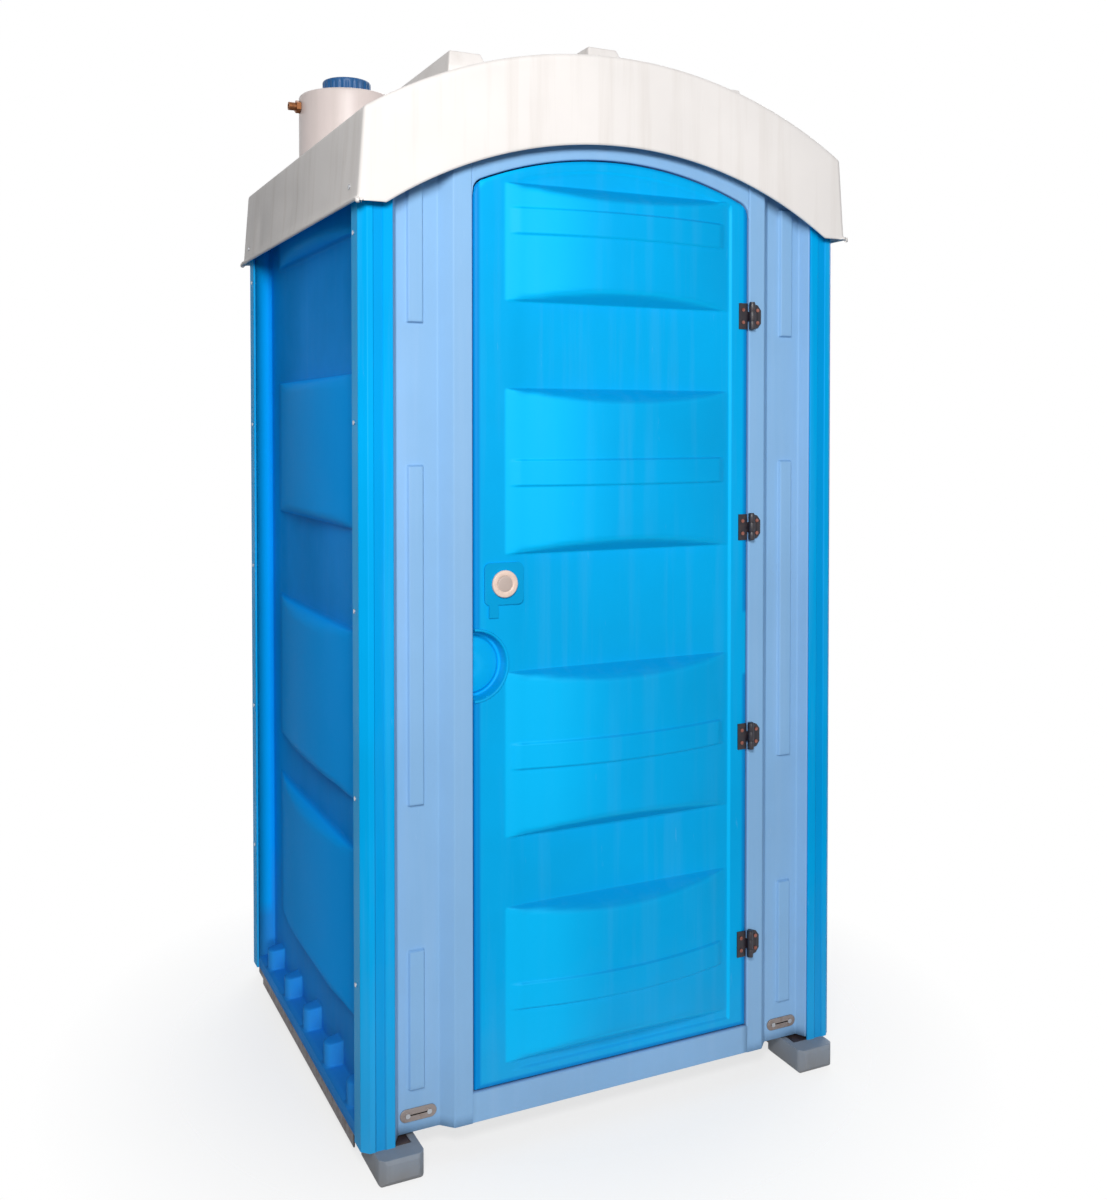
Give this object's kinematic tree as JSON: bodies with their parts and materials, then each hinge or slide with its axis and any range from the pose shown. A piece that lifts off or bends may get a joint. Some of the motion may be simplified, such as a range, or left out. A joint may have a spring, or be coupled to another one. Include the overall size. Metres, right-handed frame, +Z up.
{
  "type": "portable shower cabin",
  "caption": "Tall moulded cabin with corner posts, arched roof with deep skirt, hinged door with padded relief, shower tray and pipes inside, roof tank, runners and feet.",
  "frame": {"origin": "on the ground, in the middle of the cabin", "axes": "+Z up, the door faces -Y, +X to the right seen from the front"},
  "size_m": [1.176, 1.09, 2.366],
  "materials": {
    "painted_steel": "satin dark paint",
    "foot_plastic": "moulded, grained",
    "zinc_steel": "zinc plated",
    "tray_plastic": "moulded, fine grain",
    "grey_plastic": "moulded",
    "post_plastic": "extruded, semi gloss",
    "wall_plastic": "moulded, semi gloss",
    "panel_plastic": "moulded, semi gloss",
    "door_plastic": "moulded, semi gloss",
    "tie_steel": "dull, weathered",
    "roof_plastic": "moulded white",
    "tank_plastic": "moulded, translucent white",
    "cap_plastic": "moulded",
    "brass": "dull",
    "chrome": "polished",
    "black_hinge": "satin black",
    "rust_screw": "tarnished",
    "disc_plastic": "moulded, faded"
  },
  "bodies": {
    "cabin": {"runner_left": "painted_steel", "runner_right": "painted_steel", "foot_front_left": "foot_plastic", "foot_front_right": "foot_plastic", "foot_rear_left": "foot_plastic", "foot_rear_right": "foot_plastic", "cross_beam_front": "painted_steel", "cross_beam_rear": "painted_steel", "base_bolts": "zinc_steel", "shower_tray": "tray_plastic", "drain_strainer": "zinc_steel", "waste_pipe": "grey_plastic", "post_front_left": "post_plastic", "post_front_right": "post_plastic", "post_rear_left": "post_plastic", "post_rear_right": "post_plastic", "wall_left": "wall_plastic", "wall_right": "wall_plastic", "wall_rear": "wall_plastic", "front_panel": "panel_plastic", "panel_screws": "zinc_steel", "tie_plates": "tie_steel", "door_stop": "panel_plastic", "roof_shell": "roof_plastic", "roof_blocks": "grey_plastic", "roof_bolts": "zinc_steel", "water_tank": "tank_plastic", "tank_collar": "grey_plastic", "tank_inlet": "brass", "supply_pipe": "chrome", "valve_body": "chrome", "riser_pipe": "chrome", "pipe_clips": "tray_plastic", "soap_dish": "tray_plastic", "strike_plate": "zinc_steel", "hinge_jamb_leaf_1": "black_hinge", "hinge_jamb_leaf_2": "black_hinge", "hinge_jamb_leaf_3": "black_hinge", "hinge_jamb_leaf_4": "black_hinge", "hinge_pins": "black_hinge", "hinge_screws_jamb": "rust_screw"},
    "door": {"door_skin": "door_plastic", "door_liner": "panel_plastic", "finger_pull": "door_plastic", "lock_plate": "door_plastic", "lock_case": "grey_plastic", "coat_hook": "chrome", "hinge_door_leaf_1": "black_hinge", "hinge_door_leaf_2": "black_hinge", "hinge_door_leaf_3": "black_hinge", "hinge_door_leaf_4": "black_hinge", "hinge_screws_door": "rust_screw"},
    "lock_turner": {"lock_disc": "disc_plastic", "lock_spindle": "zinc_steel", "lock_knob": "grey_plastic"},
    "bolt": {"lock_bolt": "grey_plastic"},
    "cap": {"tank_cap": "cap_plastic"},
    "lever": {"valve_lever": "chrome"},
    "head": {"shower_head": "chrome"},
    "grate": {"floor_grate": "tray_plastic"}
  },
  "joints": [
    {"name": "door_swing", "type": "hinge", "parent": "cabin", "child": "door", "pos_m": [0.336, -0.509, 0], "axis": [0, 0, 1], "range_deg": [0, 110]},
    {"name": "lock_turn", "type": "hinge", "parent": "door", "child": "lock_turner", "pos_m": [-0.267, -0.5, 1.165], "axis": [0, 1, 0], "range_deg": [0, 90]},
    {"name": "bolt_slide", "type": "slide", "parent": "door", "child": "bolt", "axis": [-1, 0, 0], "range_m": [0, 0.03]},
    {"name": "cap_lift", "type": "slide", "parent": "cabin", "child": "cap", "axis": [0, 0, 1], "range_m": [0, 0.08]},
    {"name": "lever_turn", "type": "hinge", "parent": "cabin", "child": "lever", "pos_m": [-0.18, 0.38, 1.12], "axis": [0, -1, 0], "range_deg": [0, 90]},
    {"name": "head_tilt", "type": "hinge", "parent": "cabin", "child": "head", "pos_m": [-0.18, 0.203, 1.824], "axis": [1, 0, 0], "range_deg": [-25, 25]},
    {"name": "grate_lift", "type": "slide", "parent": "cabin", "child": "grate", "axis": [0, 0, 1], "range_m": [0, 0.3]}
  ],
  "couplings": [
    {"joint": "bolt_slide", "follows": "lock_turn", "m_per_rad": 0.019098}
  ]
}
